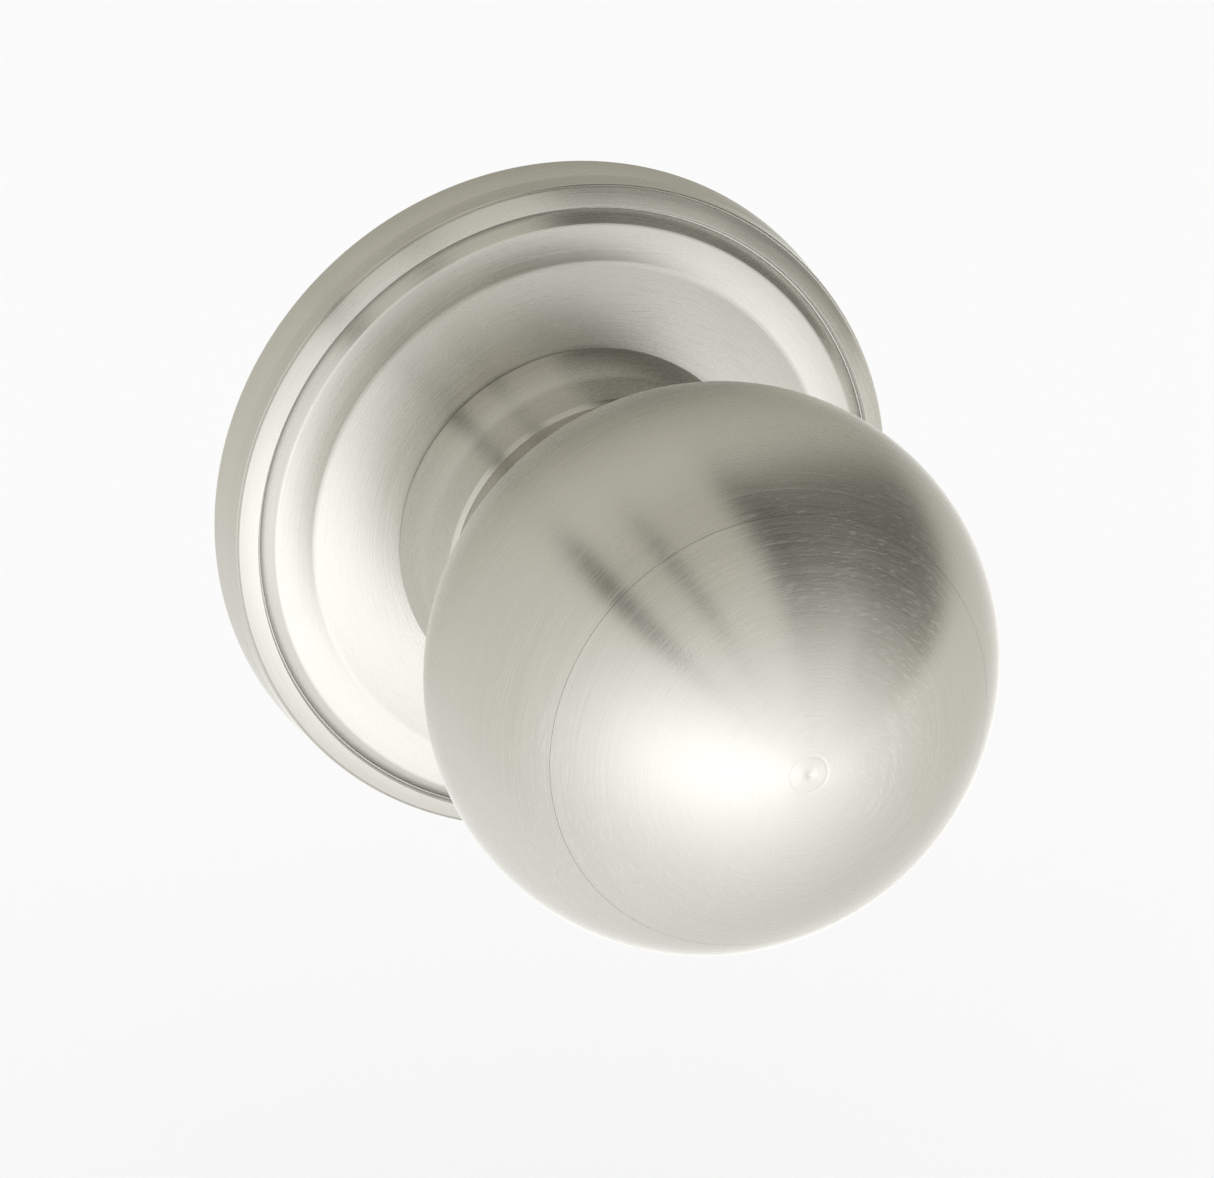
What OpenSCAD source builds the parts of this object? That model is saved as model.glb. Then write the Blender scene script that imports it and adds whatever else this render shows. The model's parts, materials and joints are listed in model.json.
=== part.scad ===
// Passage door knob, outside trim: satin ball knob on a stepped round rose, with a sprung chassis behind it.
// The knob axis is horizontal. The door face is the XZ plane, the knob points along -Y and Z is up.
// Each sub-part is drawn with its own z along the knob axis, z = 0 at the door face, z > 0 towards the
// user and y up, and is then turned into place by on_door().

/* [Knob] */
// Greatest diameter of the ball
ball_d = 50.8; // [50:0.1:51.5]
// Depth of the ball along its axis
ball_depth = 45; // [44.6:0.1:45.4]
// Radius of the ball's side, where it rounds from the front dome to the back
ball_side_r = 20.35; // [20.1:0.05:20.6]
// Height of the ball's centre above the door face
ball_z = 44.2; // [44:0.1:45]
// Sheet thickness of the ball's shells
shell_t = 1; // [0.8:0.1:1.1]
// Chamfer on each side of the seam between the front dome and the rest of the ball
seam_chamfer = 0.04; // [0.02:0.02:0.12]

/* [Neck] */
// Diameter of the flared foot of the neck, beside the rose
neck_foot_d = 36; // [35.6:0.1:36.4]
// Diameter of the neck at the crease where the flared foot ends
neck_crease_d = 32.8; // [32.4:0.1:33]
// Height of that crease above the door face
neck_crease_z = 13.9; // [13.6:0.1:14.2]
// Diameter of the neck's collar where it ends behind the ball
neck_collar_d = 31.9; // [31.4:0.1:32.2]
// Diameter of the neck's waist, which runs into the ball
neck_waist_d = 28.8; // [28.6:0.1:29]

/* [Rose] */
// Outside diameter of the rose
rose_d = 66.7; // [66.4:0.1:68]
// Height of the rose's outer edge above the door face
rim_z = 5.65; // [5.6:0.05:5.7]
// Radius of the rose at the fine groove inside its rim
groove_r = 30.6; // [30.5:0.05:30.65]
// Radius of the rose at the edge where the chamfer inside the groove meets the bead
bead_r = 29.3; // [29.2:0.05:29.4]
// Radius of the rose at the crease where its raised centre starts
centre_r = 25.7; // [25.5:0.1:25.9]
// Height of that crease above the door face
centre_z = 7.3; // [7.2:0.05:7.4]
// Wall thickness of the rose
rose_t = 0.9; // [0.8:0.05:1]

/* [Chassis] */
// Outside diameter of the spring housing, which enters a 54 mm cross bore in the door
housing_d = 53.2; // [53:0.1:53.6]
// Depth of the spring housing behind the door face
housing_depth = 9; // [9:0.1:10]
// Distance between the two mounting posts
post_spacing = 38; // [38:0.1:39]
// How far the mounting posts reach behind the door face
post_depth = 24; // [22:0.5:28]
// Core diameter of the posts' M5 threads
post_thread_d = 4.2; // [4.1:0.05:4.3]
// How far the knob turns each way before it meets a stop
turn_limit = 60; // [40:1:62]

/* [Spindle] */
// Width across the flats of the square spindle
spindle_w = 7.94; // [7.9:0.01:8]
// How far the spindle reaches behind the door face
spindle_depth = 45; // [40:1:48]

/* [Springs] */
// Wire diameter of the return spring
return_wire_d = 1.2; // [1:0.05:1.25]
// Wire diameter of the catch spring
catch_wire_d = 0.5; // [0.4:0.05:0.6]

/* [Hidden] */

$fn = 96;
run_gap = 0.08;   // radial clearance of a running fit
fit_gap = 0.03;   // clearance of a fixed fit

// Ball: a front dome and a back dome of one radius, joined by a side of a smaller radius.
ball_r = ball_d / 2;
ball_c = ball_depth / 2;
side_offset = ball_r - ball_side_r;
dome_r = (side_offset * side_offset + ball_c * ball_c - ball_side_r * ball_side_r)
    / (2 * (ball_c - ball_side_r));
dome_drop = dome_r - ball_c;                     // how far a dome's centre is past the ball's centre
seam_angle = atan2(dome_drop, side_offset);      // direction of the seam, from the side's centre
arc_step = 2.5;                                  // degrees between the points of a round outline

// Neck
foot_r = neck_foot_d / 2;
foot_z = 9.25;
foot_bulge_r = 30;
crease_r = neck_crease_d / 2;
collar_r = neck_collar_d / 2;
collar_z = 17.9;
collar_chamfer = 0.4;
waist_r = neck_waist_d / 2;
neck_end_z = 28;
neck_t = 1;

// Rose
rose_r = rose_d / 2;
rim_draft = 0.6;       // how much the side narrows from the door to the rim
rim_fillet = 0.3;
rim_line = 0.09;       // depth and half the width of the scored line at the foot of the rim
lip_r = groove_r + 0.25;
lip_z = rim_z + 0.95;
groove_z = rim_z + 0.35;
groove_w = 0.1;
groove_skin = 0.75;    // wall thickness under the groove
bead_z = rim_z + 1.3;
rose_hole_r = 16.6;
rose_top_z = 9.02;

// Drive sleeve and what turns with it
sleeve_r = 9.5;
sleeve_bore_r = 7.5;
sleeve_front_z = 30;
sleeve_back_z = -5.8;
counterbore_r = 8.4;
counterbore_z = -3.2;
tab_half = 14;        // half the angle of each tab that keys the sleeve to the cam
key_w = 4;
key_z = 22;
clip_groove_r = 8.7;
clip_z = 5.05;
clip_t = 1;
cam_t = 1.7;
cam_r = 10.9;
cam_lug_r = 13.9;
cam_lug_half = 18;    // half the angle of the cam's stop lug
cam_boss_r = 6.9;
pin_r = 1;
pin_z = -4.5;
spindle_front_z = -2.6;
spindle_chamfer = 0.8;

// Knob catch, on the underside of the neck
catch_z = 20;
catch_r = 2;
catch_tip = 12;       // radius of the catch's tip from the knob axis
catch_flange_r = 2.9;
catch_flange_out = 6.7;
catch_flange_in = 5.7;
tool_hole_r = 1.5;
catch_coil_r = 1.7;
catch_turns = 7;

// Chassis
plate_r = 31.7;
plate_t = 1.6;
plate_hole_r = 11.05;
bush_r = 11;
bush_flange_r = 13.6;
bush_flange_z = 3.05;
bush_back_z = -5.72;
housing_r = housing_d / 2;
cavity_r = 14.5;
cavity_z = -7.6;
stop_z = -5.7;
wall_t = 1.8;
rib_t = 1.6;
post_r = 3.5;
tenon_r = 2.5;
tenon_head_r = 3.7;
screw_circle_r = 20.6;
screw_angles = [90, 210, 330];
screw_r = 1.5;
screw_head_r = 2.8;
screw_head_h = 1.9;
screw_recess = screw_head_h + 0.6;
screw_seat_z = -housing_depth + screw_recess - fit_gap;
clip_angles = [30, 150, 270];
leaf_t = 0.5;
rivet_circle_r = 26.8;
rivet_hole_r = 1.2;
coil_r = 12.2;
return_turns = 3;
tang_angle = 90;
tang_hole_r = 0.85;

// Turns a sub-part drawn along its own z into the door's frame.
module on_door() rotate([90, 0, 0]) children();

function polar(r, a) = [r * cos(a), r * sin(a)];

// Points of an arc about c, from angle a0 to a1, ends included.
function arc(c, r, a0, a1, step = arc_step) =
    let (n = max(1, ceil(abs(a1 - a0) / step)))
    [for (i = [0:n]) c + polar(r, a0 + (a1 - a0) * i / n)];

// The ball's outlines, as (radius, height) points, with a skin t inside the outer surface.
function dome_angle(r, t) = acos(r / (dome_r - t));
function front_dome(t, r0, r1) =
    arc([0, ball_z - dome_drop], dome_r - t, dome_angle(r0, t), dome_angle(r1, t));
function back_dome(t, r0, r1) =
    arc([0, ball_z + dome_drop], dome_r - t, -dome_angle(r0, t), -dome_angle(r1, t));
function side(t, a0, a1) = arc([side_offset, ball_z], ball_side_r - t, a0, a1);
function seam_point(t) = [side_offset, ball_z] + polar(ball_side_r - t, seam_angle);

function reverse(p) = [for (i = [len(p) - 1:-1:0]) p[i]];

module ring(r0, r1, z0, z1) {
    translate([0, 0, z0]) difference() {
        cylinder(r = r1, h = z1 - z0);
        translate([0, 0, -1]) cylinder(r = r0, h = z1 - z0 + 2);
    }
}

// A wedge of half angle `half` about direction a, long enough to cut anything here.
module wedge(z0, z1, a, half) {
    reach = 60;
    spread = half <= 45 ? [-half, half] : [-half, -half / 2, 0, half / 2, half];
    translate([0, 0, z0]) linear_extrude(z1 - z0)
        polygon(concat([[0, 0]], [for (d = spread) polar(reach, a + d)]));
}

// The part of a ring inside a wedge.
module sector(r0, r1, z0, z1, a, half) {
    intersection() {
        ring(r0, r1, z0, z1);
        wedge(z0 - 1, z1 + 1, a, half);
    }
}

module around(angles, r) {
    for (a = angles) rotate([0, 0, a]) translate([r, 0, 0]) children();
}

// A wire of radius r through points p, as one closed mesh.
function unit(v) = v / norm(v);
function tangent(p, i) = unit(p[min(i + 1, len(p) - 1)] - p[max(i - 1, 0)]);
module wire(p, r, sides = 10) {
    n = len(p);
    sections = [
        for (i = [0:n - 1])
            let (t = tangent(p, i))
            let (x = unit(cross(t, abs(t[2]) > 0.9 ? [p[i][0], p[i][1], 0] : [0, 0, 1])))
            let (y = cross(t, x))
            for (k = [0:sides - 1]) p[i] + r * (cos(360 * k / sides) * x + sin(360 * k / sides) * y)
    ];
    walls = [
        for (i = [0:n - 2]) for (k = [0:sides - 1])
            let (k2 = (k + 1) % sides)
            each [
                [i * sides + k, i * sides + k2, (i + 1) * sides + k2],
                [i * sides + k, (i + 1) * sides + k2, (i + 1) * sides + k]
            ]
    ];
    ends = [
        [for (k = [sides - 1:-1:0]) k],
        [for (k = [0:sides - 1]) (n - 1) * sides + k]
    ];
    polyhedron(points = sections, faces = [for (f = concat(walls, ends)) reverse(f)]);
}

// Points of the seam between dome and side: half a gap along the surface from it, t inside the outer
// surface. way is 1 for the dome's edge and -1 for the side's edge.
function seam_edge(t, along, way) = seam_point(t) + way * along * polar(1, seam_angle + 90);
function seam_face(way) =
    let (g = fit_gap / 2)
    [seam_edge(0, g + seam_chamfer, way), seam_edge(seam_chamfer, g, way), seam_edge(shell_t, g, way)];

// Front dome of the ball, a drawn cap with a lip that goes inside the shell.
module knob_cap() {
    lip_t = 0.8;
    lip_length = 3;
    face = seam_face(1);
    lip_r = face[2][0];
    lip_z = face[2][1] - lip_length;
    color("silver") on_door() rotate_extrude() polygon(concat(
        front_dome(shell_t, 0, lip_r - lip_t),
        [[lip_r - lip_t, lip_z], [lip_r, lip_z]],
        reverse(face),
        reverse(front_dome(0, 0, face[0][0] - 0.2))
    ));
}

// Side and back of the ball, drawn in one piece, with the hole for the neck.
module knob_shell() {
    hole_r = waist_r + fit_gap;
    color("silver") on_door() rotate_extrude() polygon(concat(
        side(0, seam_angle - 1, -seam_angle),
        reverse(back_dome(0, hole_r, seam_point(0)[0] - 0.4)),
        back_dome(shell_t, hole_r, seam_point(shell_t)[0] - 0.4),
        side(shell_t, -seam_angle, seam_angle - 1),
        reverse(seam_face(-1))
    ));
}

// Neck: a flared foot by the rose, a plain collar and a waist that runs into the ball.
function foot_flare() =
    let (a = [foot_r, foot_z + 0.3], b = [crease_r, neck_crease_z])
    let (m = (a + b) / 2, d = b - a)
    let (h = sqrt(foot_bulge_r * foot_bulge_r - d * d / 4))
    let (c = m - h * unit([d[1], -d[0]]))
    arc(c, foot_bulge_r, atan2(a[1] - c[1], a[0] - c[0]), atan2(b[1] - c[1], b[0] - c[0]));
module neck_blank() {
    foot_edge = 0.25;
    shoulder_z = collar_z + collar_chamfer;
    rotate_extrude() polygon(concat(
        [[foot_r - foot_edge, foot_z]],
        foot_flare(),
        [
            [collar_r, collar_z], [collar_r - collar_chamfer, shoulder_z - 0.1], [waist_r, shoulder_z],
            [waist_r, neck_end_z], [waist_r - neck_t, neck_end_z],
            [waist_r - neck_t, collar_z - neck_t], [collar_r - neck_t, collar_z - neck_t],
            [crease_r - neck_t - 0.1, neck_crease_z], [foot_r - 1.6, foot_z + 0.8], [foot_r - 1.6, foot_z]
        ]
    ));
}
module knob_neck() {
    color("silver") on_door() difference() {
        neck_blank();
        tool_hole(waist_r - neck_t - 1, waist_r + 1);
    }
}
module tool_hole(r0, r1, r = tool_hole_r) {
    translate([0, -r0, catch_z]) rotate([90, 0, 0]) cylinder(r = r, h = r1 - r0);
}

// Core: the cast insert that carries the ball and the neck on the drive sleeve.
module knob_core() {
    bore_r = sleeve_r + fit_gap;
    tube_r = waist_r - neck_t - fit_gap;
    back_z = 12;
    front_z = 31.4;
    relief = 1.2;
    seat_z = neck_end_z + 0.2;
    flange_r = 17.8;
    key_back_z = key_z + 0.3;
    color("darkgray") on_door() difference() {
        union() {
            rotate_extrude() polygon([
                [bore_r, back_z], [tube_r - relief, back_z], [tube_r - relief, 16.5], [tube_r, 18],
                [tube_r, seat_z], [flange_r - 2.4, seat_z], [flange_r, seat_z + 2], [flange_r, front_z],
                [bore_r, front_z]
            ]);
            translate([-key_w / 2 + fit_gap, sleeve_bore_r + 0.2, key_back_z])
                cube([key_w - 2 * fit_gap, bore_r - sleeve_bore_r, front_z - key_back_z]);
        }
        tool_hole(bore_r - 1, tube_r + 1);
        tool_hole(bore_r - 1, catch_tip + 0.3, catch_r + 0.2);
    }
}

// Drive sleeve: the steel tube that carries the knob, with a ring groove, a key slot and two tabs.
module drive_sleeve() {
    tab_end_z = sleeve_back_z - 1.5;
    color("lightgray") on_door() difference() {
        ring(sleeve_bore_r, sleeve_r, tab_end_z, sleeve_front_z);
        translate([0, 0, tab_end_z - 1]) cylinder(r = counterbore_r, h = counterbore_z - tab_end_z + 1);
        for (a = [90, 270]) wedge(tab_end_z - 1, sleeve_back_z, a, 90 - tab_half);
        ring(clip_groove_r, sleeve_r + 1, clip_z - 0.05, clip_z + clip_t + 0.05);
        translate([-key_w / 2, 0, key_z]) cube([key_w, sleeve_r + 1, sleeve_front_z]);
        tool_hole(sleeve_bore_r - 2, sleeve_r + 1, catch_r + run_gap);
    }
}

// Drive cam: keyed to the sleeve's tabs, holds the spindle and winds the return spring.
module drive_cam() {
    front_z = sleeve_back_z - 0.02;
    back_z = front_z - cam_t;
    boss_z = -housing_depth - 0.3;
    color("darkgray") on_door() difference() {
        union() {
            translate([0, 0, back_z]) cylinder(r = cam_r, h = cam_t);
            sector(cam_r - 1.5, cam_lug_r, back_z, front_z, tang_angle, cam_lug_half);
            translate([0, 0, boss_z]) cylinder(r = cam_boss_r, h = back_z + 0.5 - boss_z);
        }
        for (a = [0, 180])
            sector(counterbore_r - fit_gap, sleeve_r + fit_gap, back_z - 1, front_z + 1, a, tab_half + 0.3);
        translate([-spindle_w / 2 - 0.05, -spindle_w / 2 - 0.05, -housing_depth - 1])
            cube([spindle_w + 0.1, spindle_w + 0.1, housing_depth]);
        around([tang_angle], coil_r) translate([0, 0, back_z - 1]) cylinder(r = tang_hole_r, h = cam_t + 2);
    }
}

// Square spindle with pointed ends; the pin through its front end keeps it in the sleeve.
module spindle() {
    length = spindle_depth + spindle_front_z;
    color("lightgray") on_door() difference() {
        translate([-spindle_w / 2, -spindle_w / 2, -spindle_depth]) cube([spindle_w, spindle_w, length]);
        for (a = [0:90:270]) rotate([0, 0, a]) for (end = [-spindle_depth, spindle_front_z])
            translate([spindle_w / 2, 0, end]) rotate([0, 45, 0])
                cube([spindle_chamfer, spindle_w + 1, spindle_chamfer], center = true);
        translate([0, spindle_w, pin_z]) rotate([90, 0, 0]) cylinder(r = pin_r, h = 2 * spindle_w);
    }
}

module spindle_pin() {
    length = 15.4;
    color("dimgray") on_door() translate([0, length / 2, pin_z]) rotate([90, 0, 0]) difference() {
        cylinder(r = pin_r - 0.01, h = length);
        translate([0, 0, -1]) cylinder(r = pin_r * 0.5, h = length + 2);
        translate([0, -0.15, -1]) cube([pin_r + 1, 0.3, length + 2]);
    }
}

// Open ring in the sleeve's groove, with an eye at each end for ring pliers.
module sleeve_circlip() {
    ring_r = 11.4;
    eye_r = 1.5;
    eye_hole_r = 0.65;
    gap_half = 16;
    eye_angles = [270 - gap_half - 6, 270 + gap_half + 6];
    color("dimgray") on_door() translate([0, 0, clip_z]) linear_extrude(clip_t) difference() {
        union() {
            circle(ring_r);
            around(eye_angles, ring_r) circle(eye_r);
        }
        circle(clip_groove_r + fit_gap);
        polygon([[0, 0], polar(4 * ring_r, 270 - gap_half), polar(4 * ring_r, 270 + gap_half)]);
        around(eye_angles, ring_r) circle(eye_hole_r);
    }
}

// Catch: a flanged plunger inside the sleeve, whose tip locks the core and the neck to the sleeve.
module knob_catch() {
    color("lightgray") on_door() translate([0, 0, catch_z]) rotate([90, 0, 0]) {
        translate([0, 0, catch_flange_in]) {
            cylinder(r = catch_flange_r, h = catch_flange_out - catch_flange_in);
            cylinder(r = catch_r, h = catch_tip - catch_flange_in - 0.4);
        }
        translate([0, 0, catch_tip - 0.4]) cylinder(r1 = catch_r, r2 = catch_r - 0.4, h = 0.4);
    }
}

// Catch spring: a compression coil across the sleeve, from the bore's far wall to the catch's flange.
module catch_spring() {
    z0 = -(sleeve_bore_r - 0.62);
    z1 = catch_flange_in - catch_wire_d / 2 - 0.02;
    steps = 18 * catch_turns;
    closed = 0.1;    // part of the coil at each end whose pitch runs down to nothing
    // Part of the rise reached at part s of the length, 3 % of it in each closed end.
    function rise(s) =
        s < closed ? 3 * s * s
        : s > 1 - closed ? 1 - 3 * (1 - s) * (1 - s)
        : 0.03 + 0.94 * (s - closed) / (1 - 2 * closed);
    points = [
        for (i = [0:steps])
            concat(polar(catch_coil_r, 360 * catch_turns * i / steps), [z0 + (z1 - z0) * rise(i / steps)])
    ];
    color("gray") on_door() translate([0, 0, catch_z]) rotate([90, 0, 0]) wire(points, catch_wire_d / 2, 8);
}

// Points of a bowed line after a, up to b: bow is 0 for a straight line and 1 for one that ends level.
function bowed(a, b, bow, n) = [
    for (i = [1:n])
        let (s = i / n)
        [a[0] + (b[0] - a[0]) * s, a[1] + (b[1] - a[1]) * (s + bow * s * (1 - s))]
];
function rose_side() =
    let (r = rose_r - rim_draft, corner = arc([r - rim_fillet, rim_z - rim_fillet], rim_fillet, 0, 57, 14))
    let (edge = corner[len(corner) - 1])
    concat([[rose_r, 0]], corner, [edge - [rim_line, rim_line / 2], edge + [-2 * rim_line, rim_line]]);
function rose_face() =
    let (bead = [bead_r, bead_z], centre = [centre_r, centre_z])
    concat([bead], bowed(bead, centre, 1, 6), bowed(centre, [rose_hole_r, rose_top_z], 0.5, 8));

// Rose: a cover with a sloping rim, a fine groove, a chamfer, a low bead and a raised centre.
module rose() {
    inner_r = rose_r - rose_t;
    under_z = groove_z - groove_skin;
    color("silver") on_door() rotate_extrude() polygon(concat(
        rose_side(),
        [
            [lip_r, lip_z], [groove_r + groove_w / 2, groove_z], [groove_r - groove_w / 2, groove_z]
        ],
        rose_face(),
        [for (p = reverse(rose_face())) p - [0, rose_t]],
        [
            [groove_r - 0.4, under_z], [inner_r - 0.9, under_z], [inner_r - 0.25, under_z - 0.7],
            [inner_r, 3], [inner_r, 0]
        ]
    ));
}

// Three leaf clips on the plate that grip the inside of the rose.
module rose_clips() {
    foot_w = 6;
    leaf_z = plate_t + fit_gap;
    color("gray") on_door() around(clip_angles, 0) translate([0, -foot_w / 2, 0]) {
        difference() {
            translate([rivet_circle_r - 2.2, 0, leaf_z]) cube([6.6, foot_w, leaf_t]);
            translate([rivet_circle_r, foot_w / 2, plate_t - 1]) cylinder(r = rivet_hole_r, h = 3);
        }
        translate([0, foot_w, 0]) rotate([90, 0, 0]) linear_extrude(foot_w) polygon([
            [30.7, leaf_z], [31.2, leaf_z], [31.9, 3.1], [31.2, 4.4], [30.7, 4.3], [31.3, 3.1],
            [30.7, plate_t + leaf_t]
        ]);
    }
}

// Rivets that hold the leaf clips, flush with the back of the plate.
module clip_rivets() {
    head_r = 2;
    color("lightgray") on_door() around(clip_angles, rivet_circle_r) {
        translate([0, 0, 0.1]) cylinder(r = rivet_hole_r - 0.05, h = plate_t + leaf_t);
        translate([0, 0, plate_t + leaf_t + 0.06]) cylinder(r1 = head_r, r2 = head_r - 0.6, h = 0.8);
    }
}

// Chassis plate: the steel disc that lies on the door and carries everything else.
module chassis_plate() {
    edge = 0.3;
    module hole(r) translate([0, 0, -1]) cylinder(r = r, h = plate_t + 2);
    color("lightgray") on_door() difference() {
        union() {
            cylinder(r = plate_r - 0.4, h = plate_t);
            translate([0, 0, edge]) cylinder(r = plate_r, h = plate_t - 2 * edge);
        }
        hole(plate_hole_r);
        around([0, 180], post_spacing / 2) hole(tenon_r + fit_gap);
        around(screw_angles, screw_circle_r) hole(screw_r + 0.02);
        around(clip_angles, rivet_circle_r) hole(rivet_hole_r);
        around([tang_angle], coil_r) hole(tang_hole_r);
    }
}

// Flanged bush in which the sleeve turns.
module sleeve_bushing() {
    bore_r = sleeve_r + run_gap;
    seat_z = plate_t + fit_gap;
    edge = 0.3;
    color("ivory") on_door() rotate_extrude() polygon([
        [bore_r, bush_back_z], [bush_r, bush_back_z], [bush_r, seat_z], [bush_flange_r - edge, seat_z],
        [bush_flange_r, seat_z + edge], [bush_flange_r, bush_flange_z - edge],
        [bush_flange_r - edge, bush_flange_z], [bore_r, bush_flange_z]
    ]);
}

module thrust_washer() {
    color("dimgray") on_door() ring(sleeve_r + 0.2, 13.4, bush_flange_z + 0.02, 3.9);
}

// Wave washer: a thin ring that rises and falls three times round, and takes up the sleeve's end play.
module wave_washer() {
    t = 0.35;
    waves = 3;
    r0 = sleeve_r + 0.3;
    r1 = 13;
    mid_z = 4.46;
    swing = 0.3;
    steps = 72;
    function wave_z(i) = mid_z + swing * cos(waves * 360 * i / steps);
    points = [
        for (i = [0:steps - 1])
            let (a = 360 * i / steps, z = wave_z(i))
            each [
                concat(polar(r0, a), [z - t / 2]), concat(polar(r1, a), [z - t / 2]),
                concat(polar(r1, a), [z + t / 2]), concat(polar(r0, a), [z + t / 2])
            ]
    ];
    faces = [
        for (i = [0:steps - 1]) for (k = [0:3])
            let (a = 4 * i, b = 4 * ((i + 1) % steps), k2 = (k + 1) % 4)
            each [[a + k, b + k, b + k2], [a + k, b + k2, a + k2]]
    ];
    color("gray") on_door() polyhedron(points = points, faces = faces);
}

// Return spring: a torsion coil with one tang in the plate and the other in the cam.
module return_spring() {
    z0 = -0.95;
    z1 = -4.95;
    bend = 0.8;
    steps = 40 * return_turns;
    coil = [
        for (i = [0:steps])
            let (s = i / steps)
            concat(polar(coil_r, tang_angle + 4 + (360 * return_turns - 8) * s), [z0 + (z1 - z0) * s])
    ];
    tang = polar(coil_r, tang_angle);
    front = [for (z = [1.2, 0.6, z0 + bend]) concat(tang, [z])];
    back = [for (z = [z1 - bend, z1 - 1.6, z1 - 2.3]) concat(tang, [z])];
    color("gray") on_door() wire(concat(front, coil, back), return_wire_d / 2, 10);
}

// Spring housing: a die casting that enters the door's cross bore and holds the spring and the stops.
module spring_housing() {
    web_t = 1.8;
    rim_front_z = -0.5;
    length = housing_depth + rim_front_z;
    inner_wall_r = cavity_r + wall_t;
    stop_half = 180 - turn_limit - cam_lug_half - 0.5;
    module through(r) translate([0, 0, -housing_depth - 1]) cylinder(r = r, h = housing_depth + 2);
    color("darkgray") on_door() difference() {
        union() {
            translate([0, 0, -web_t]) cylinder(r = housing_r, h = web_t - fit_gap);
            ring(housing_r - wall_t, housing_r, -housing_depth, rim_front_z);
            translate([0, 0, -housing_depth]) {
                cylinder(r = inner_wall_r, h = length);
                around([0, 180], post_spacing / 2) cylinder(r = post_r + 2, h = length);
                around(screw_angles, screw_circle_r) cylinder(r = screw_head_r + 1.3, h = length);
            }
            for (a = [30:60:330]) rotate([0, 0, a])
                translate([inner_wall_r - 1, -rib_t / 2, -housing_depth + 1.2])
                    cube([housing_r - inner_wall_r, rib_t, housing_depth - 2]);
        }
        difference() {
            translate([0, 0, cavity_z]) cylinder(r = cavity_r, h = housing_depth);
            sector(cam_r + 0.3, cavity_r + 1, cavity_z - 1, stop_z, tang_angle + 180, stop_half);
        }
        translate([0, 0, -housing_depth - 1]) cylinder(r = cam_boss_r + run_gap, h = housing_depth);
        around([0, 180], post_spacing / 2) through(post_r + fit_gap);
        around(screw_angles, screw_circle_r) {
            through(screw_r + 0.2);
            translate([0, 0, -housing_depth - 1]) cylinder(r = screw_head_r + 0.2, h = screw_recess + 1);
        }
    }
}

// Three pan-head screws that hold the housing to the plate.
module housing_screws() {
    rim_t = 1.1;
    shank_z = screw_seat_z - 0.5;
    head_z = screw_seat_z - screw_head_h;
    color("lightgray") on_door() around(screw_angles, screw_circle_r) difference() {
        union() {
            translate([0, 0, shank_z]) cylinder(r = screw_r, h = plate_t - 0.1 - shank_z);
            translate([0, 0, screw_seat_z - rim_t]) cylinder(r = screw_head_r, h = rim_t);
            translate([0, 0, head_z])
                cylinder(r1 = screw_head_r - 0.9, r2 = screw_head_r, h = screw_head_h - rim_t);
        }
        for (a = [0, 90]) rotate([0, 0, a]) translate([-1.6, -0.35, head_z - 1]) cube([3.2, 0.7, 2]);
    }
}

// Two threaded posts, staked in the plate, that take the bolts from the other side of the door.
module mounting_posts() {
    thread_depth = 16;
    color("lightgray") on_door() around([0, 180], post_spacing / 2) difference() {
        union() {
            translate([0, 0, -post_depth]) cylinder(r1 = post_r - 0.5, r2 = post_r, h = 0.5);
            translate([0, 0, -post_depth + 0.5]) cylinder(r = post_r, h = post_depth - 0.5 - fit_gap);
            translate([0, 0, -1]) cylinder(r = tenon_r, h = plate_t + 1.5);
            translate([0, 0, plate_t + fit_gap])
                cylinder(r1 = tenon_head_r, r2 = tenon_head_r - 0.7, h = 0.9);
        }
        translate([0, 0, -post_depth - 1]) cylinder(r = post_thread_d / 2, h = thread_depth + 1);
    }
}

knob_cap();
knob_shell();
knob_neck();
knob_core();
drive_sleeve();
drive_cam();
spindle();
spindle_pin();
sleeve_circlip();
knob_catch();
catch_spring();
rose();
rose_clips();
clip_rivets();
chassis_plate();
sleeve_bushing();
thrust_washer();
wave_washer();
return_spring();
spring_housing();
housing_screws();
mounting_posts();
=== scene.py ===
"""Looks of a satin stainless door knob on a stepped round rose, with its chassis behind it.

The knob's axis is Y: the door face is y = 0, the knob points along -Y and Z is up. Outlines are lists of
(radius, height) points in millimetres, with the height measured from the door face towards the user.
"""

import json
import math

import bpy
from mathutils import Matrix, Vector


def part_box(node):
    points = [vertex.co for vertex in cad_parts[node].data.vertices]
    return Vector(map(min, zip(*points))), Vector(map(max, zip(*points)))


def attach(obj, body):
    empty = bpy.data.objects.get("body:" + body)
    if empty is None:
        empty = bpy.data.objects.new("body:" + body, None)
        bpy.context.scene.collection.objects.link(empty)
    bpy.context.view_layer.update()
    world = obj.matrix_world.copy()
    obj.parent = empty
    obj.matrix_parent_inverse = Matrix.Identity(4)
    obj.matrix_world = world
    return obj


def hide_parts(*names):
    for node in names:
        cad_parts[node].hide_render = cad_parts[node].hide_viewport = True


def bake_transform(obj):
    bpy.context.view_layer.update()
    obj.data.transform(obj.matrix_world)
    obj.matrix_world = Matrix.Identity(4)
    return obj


MM = 0.001

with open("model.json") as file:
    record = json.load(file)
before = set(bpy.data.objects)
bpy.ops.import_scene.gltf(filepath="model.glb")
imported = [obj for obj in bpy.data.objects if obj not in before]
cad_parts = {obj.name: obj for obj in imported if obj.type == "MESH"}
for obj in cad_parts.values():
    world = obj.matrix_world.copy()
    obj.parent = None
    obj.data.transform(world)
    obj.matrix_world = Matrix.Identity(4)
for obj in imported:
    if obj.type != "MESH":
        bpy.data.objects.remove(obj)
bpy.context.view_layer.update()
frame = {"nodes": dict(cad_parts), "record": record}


# ---------------------------------------------------------------- sizes, from the frame

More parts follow.
